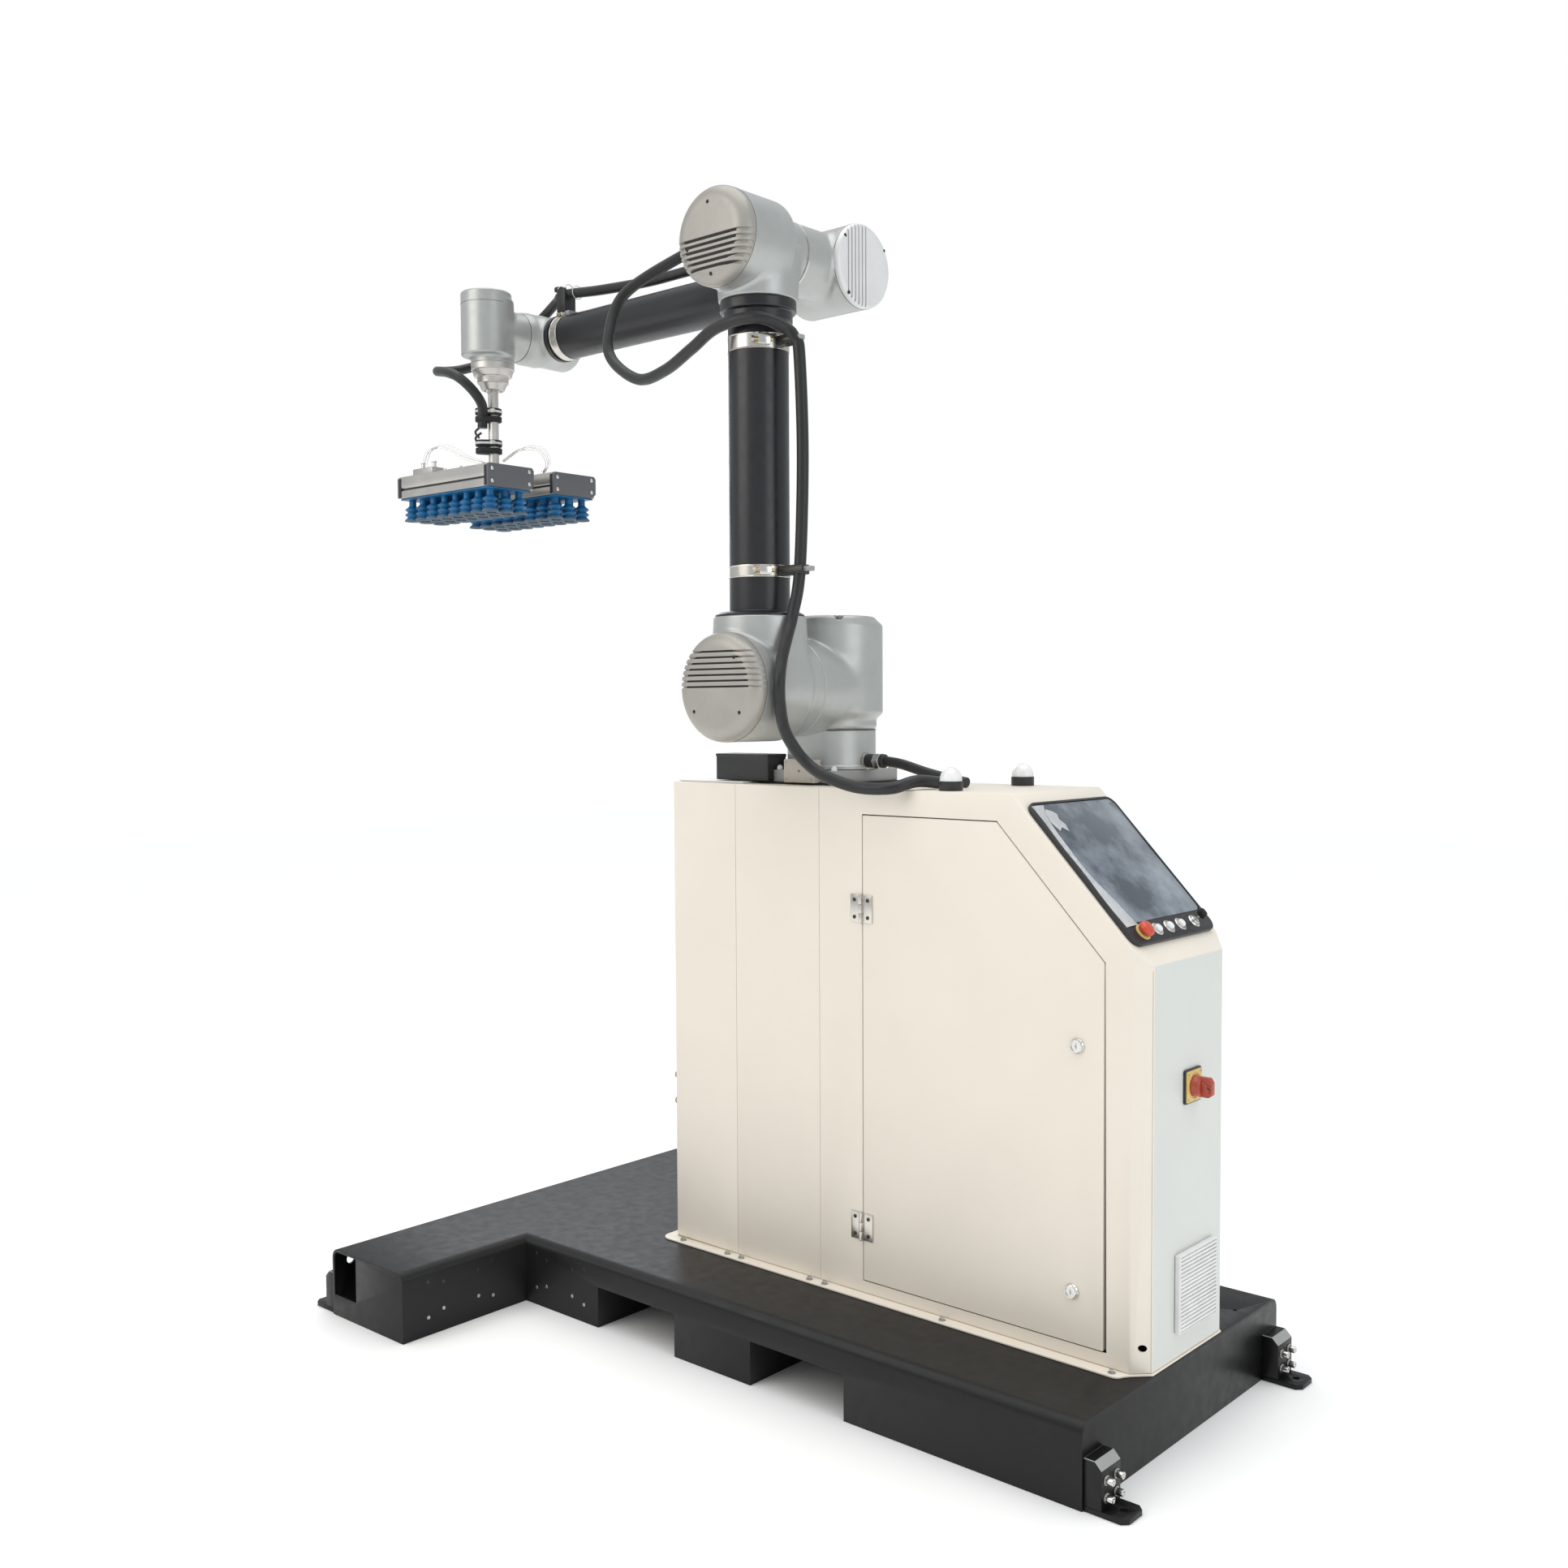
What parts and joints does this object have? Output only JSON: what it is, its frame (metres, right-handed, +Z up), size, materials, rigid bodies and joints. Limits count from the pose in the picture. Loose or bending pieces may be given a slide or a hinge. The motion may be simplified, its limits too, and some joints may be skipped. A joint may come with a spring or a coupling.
{
  "type": "robot arm palletizing station",
  "caption": "Jointed robot arm on a narrow control cabinet with a heavy forklift base, a sloping operator panel, and a two-bar vacuum gripper hanging from the wrist.",
  "frame": {"origin": "on the floor, under the arm's first axis, on the floor plate between the two fork pockets", "axes": "+Z up, +X to the operator's end of the cabinet, -Y to the side with the door; the stored pose is the pictured one: upper arm upright, forearm level toward -X"},
  "size_m": [2.1404, 1.458, 2.4702],
  "materials": {
    "black_steel": "satin powder coat",
    "ivory_steel": "satin powder coat",
    "silver_casting": "satin metallic paint on castings",
    "silver_cap": "satin metallic paint",
    "black_tube": "satin black",
    "stainless": "brushed",
    "bare_aluminium": "extruded, satin",
    "black_plastic": "matte",
    "white_plastic": "matte",
    "red_plastic": "semi gloss",
    "yellow_plastic": "satin",
    "screen": "glossy under a protective film",
    "blue_rubber": "matte silicone",
    "hose_rubber": "matte",
    "clear_tube": "clear tube",
    "zinc": "zinc plated",
    "drive_steel": "machined"
  },
  "bodies": {
    "station": {"base_main": "black_steel", "base_crossbeam": "black_steel", "foot_front_near": "black_steel", "foot_front_far": "black_steel", "foot_rear_near": "black_steel", "foot_rear_far": "black_steel", "cabinet_foot_flange": "ivory_steel", "door_side_panel": "ivory_steel", "far_side_panel": "ivory_steel", "operator_end_panel": "ivory_steel", "rear_end_panel": "ivory_steel", "cabinet_top_panel": "ivory_steel", "pedestal_column": "black_steel", "mounting_plate": "zinc", "robot_controller": "black_plastic", "vent_grille": "white_plastic", "main_switch_plate": "yellow_plastic", "hmi_frame": "black_plastic", "hmi_screen": "screen", "beacon_near": "white_plastic", "beacon_far": "white_plastic", "upper_hinge": "stainless", "lower_hinge": "stainless", "robot_riser": "zinc", "j1_base": "silver_casting", "robot_cable": "hose_rubber"},
    "shoulder": {"shoulder_housing": "silver_casting", "hose_lower": "hose_rubber"},
    "upper_arm": {"j2_housing": "silver_casting", "j2_drive": "drive_steel", "j2_cap": "silver_cap", "upper_tube": "black_tube", "j3_housing": "silver_casting", "j3_drive": "drive_steel", "j3_cap": "silver_cap", "hose_upper_run": "hose_rubber"},
    "forearm": {"forearm_root": "silver_casting", "forearm_tube": "black_tube", "j4_housing": "silver_casting", "hose_elbow": "hose_rubber"},
    "wrist": {"j5_housing": "silver_casting"},
    "tool": {"tool_shaft": "bare_aluminium", "gripper_cross_plate": "bare_aluminium", "near_bar": "bare_aluminium", "far_bar": "bare_aluminium", "near_cups": "blue_rubber", "far_cups": "blue_rubber", "hose_wrist": "hose_rubber", "air_tube_left": "clear_tube", "air_tube_right": "clear_tube"},
    "cabinet_door": {"door": "ivory_steel"},
    "upper_lock_body": {"upper_lock": "stainless"},
    "lower_lock_body": {"lower_lock": "stainless"},
    "fan": {"fan_rotor": "black_plastic"},
    "main_switch": {"main_switch_handle": "red_plastic"},
    "key": {"key_switch": "stainless"},
    "estop": {"estop_button": "red_plastic"},
    "start": {"start_button": "white_plastic"},
    "stop": {"stop_button": "white_plastic"},
    "reset": {"reset_button": "white_plastic"}
  },
  "joints": [
    {"name": "j1_turn", "type": "hinge", "parent": "station", "child": "shoulder", "pos_m": [0, 0, 1.331], "axis": [0, 0, 1], "range_deg": [-175, 175]},
    {"name": "j2_shoulder", "type": "hinge", "parent": "shoulder", "child": "upper_arm", "pos_m": [0, -0.146, 1.423], "axis": [0, 1, 0], "range_deg": [-80, 80], "deforming": ["hose_lower"]},
    {"name": "j3_elbow", "type": "hinge", "parent": "upper_arm", "child": "forearm", "pos_m": [0, -0.157, 2.335], "axis": [0, -1, 0], "range_deg": [-150, 45], "deforming": ["hose_elbow"]},
    {"name": "j4_wrist", "type": "hinge", "parent": "forearm", "child": "wrist", "pos_m": [-0.995, -0.069, 2.338], "axis": [0, 1, 0], "range_deg": [-45, 110], "deforming": ["hose_wrist"]},
    {"name": "j5_tool_turn", "type": "hinge", "parent": "wrist", "child": "tool", "pos_m": [-0.995, -0.147, 2.256], "axis": [0, 0, 1], "range_deg": [-175, 175]},
    {"name": "door_hinge", "type": "hinge", "parent": "station", "child": "cabinet_door", "pos_m": [0.2175, -0.171, 0.184], "axis": [0, 0, -1], "range_deg": [0, 110]},
    {"name": "upper_lock_turn", "type": "hinge", "parent": "cabinet_door", "child": "upper_lock_body", "pos_m": [0.73, -0.1665, 0.75], "axis": [0, 1, 0], "range_deg": [0, 90]},
    {"name": "lower_lock_turn", "type": "hinge", "parent": "cabinet_door", "child": "lower_lock_body", "pos_m": [0.72, -0.1665, 0.285], "axis": [0, 1, 0], "range_deg": [0, 90]},
    {"name": "fan_spin", "type": "hinge", "parent": "station", "child": "fan", "pos_m": [0.841, 0.0215, 0.283], "axis": [1, 0, 0], "continuous": true},
    {"name": "main_switch_turn", "type": "hinge", "parent": "station", "child": "main_switch", "pos_m": [0.8713, 0.008, 0.667], "axis": [1, 0, 0], "range_deg": [0, 90]},
    {"name": "key_turn", "type": "hinge", "parent": "station", "child": "key", "pos_m": [0.83044, 0.09, 0.96728], "axis": [-0.7255, 0, -0.6882], "range_deg": [0, 90]},
    {"name": "estop_press", "type": "slide", "parent": "station", "child": "estop", "axis": [-0.7255, 0, -0.6882], "range_m": [0, 0.004], "stiffness_N_per_m": 900},
    {"name": "start_press", "type": "slide", "parent": "station", "child": "start", "axis": [-0.7255, 0, -0.6882], "range_m": [0, 0.0022], "stiffness_N_per_m": 500},
    {"name": "stop_press", "type": "slide", "parent": "station", "child": "stop", "axis": [-0.7255, 0, -0.6882], "range_m": [0, 0.0022], "stiffness_N_per_m": 500},
    {"name": "reset_press", "type": "slide", "parent": "station", "child": "reset", "axis": [-0.7255, 0, -0.6882], "range_m": [0, 0.0022], "stiffness_N_per_m": 500}
  ]
}
